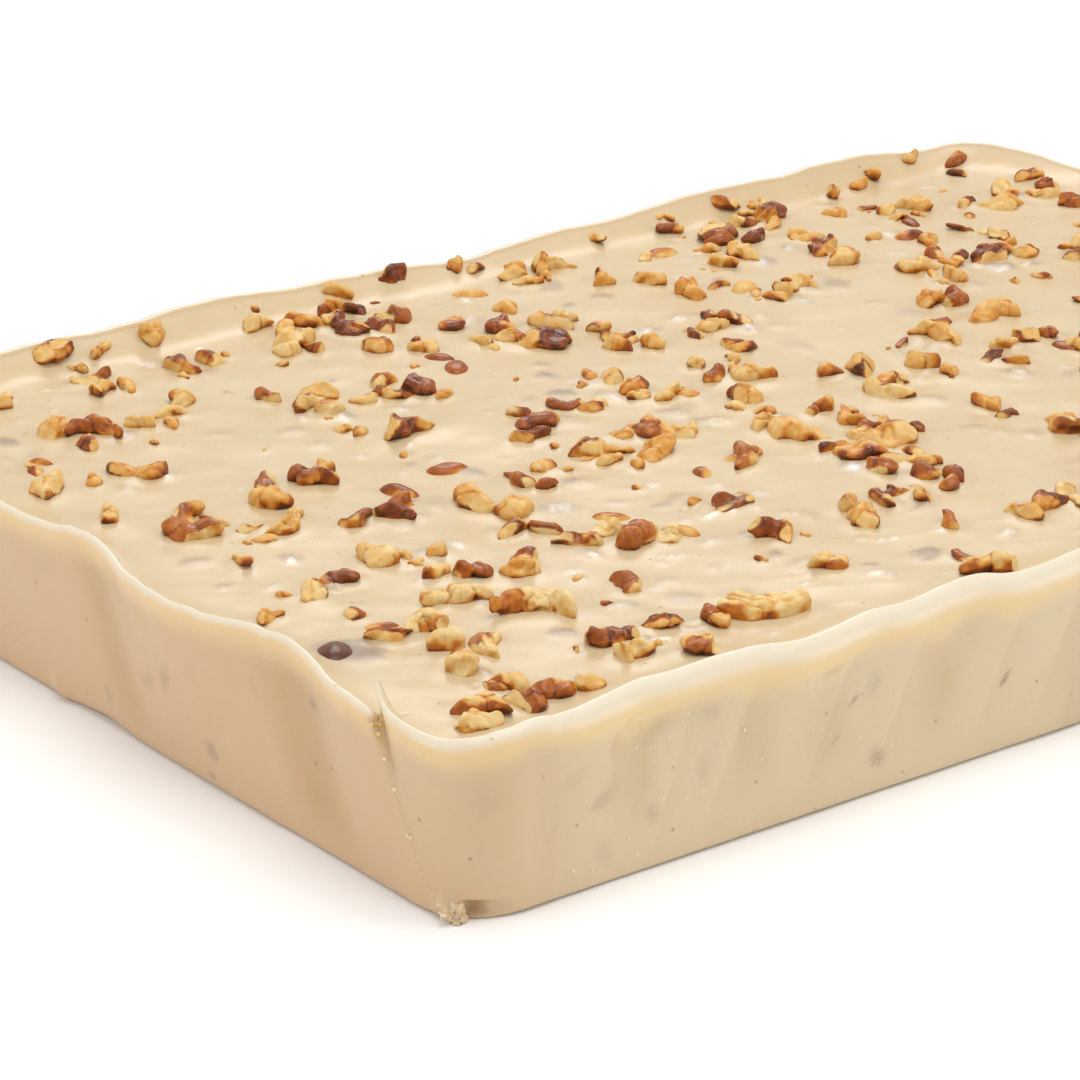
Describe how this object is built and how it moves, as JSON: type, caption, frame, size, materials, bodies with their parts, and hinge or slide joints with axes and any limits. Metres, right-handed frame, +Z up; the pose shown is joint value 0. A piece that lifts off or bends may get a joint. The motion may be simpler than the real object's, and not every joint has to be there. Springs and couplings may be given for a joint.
{
  "type": "fudge slab",
  "caption": "Rectangular slab of pale caramel fudge with a raised wavy rim and a folded corner, its top set with chopped pecan pieces.",
  "frame": {"origin": "middle of the flat underside, on the surface that the slab rests on", "axes": "+X along the long side, +Y along the short side, +Z up out of the top; the folded corner is at -X -Y"},
  "size_m": [0.3338, 0.2314, 0.038],
  "materials": {
    "fudge": "pale caramel fudge, soft and satin, with golden and brown chopped pecans on its top"
  },
  "bodies": {
    "root": {"fudge_slab": "fudge"}
  },
  "joints": []
}
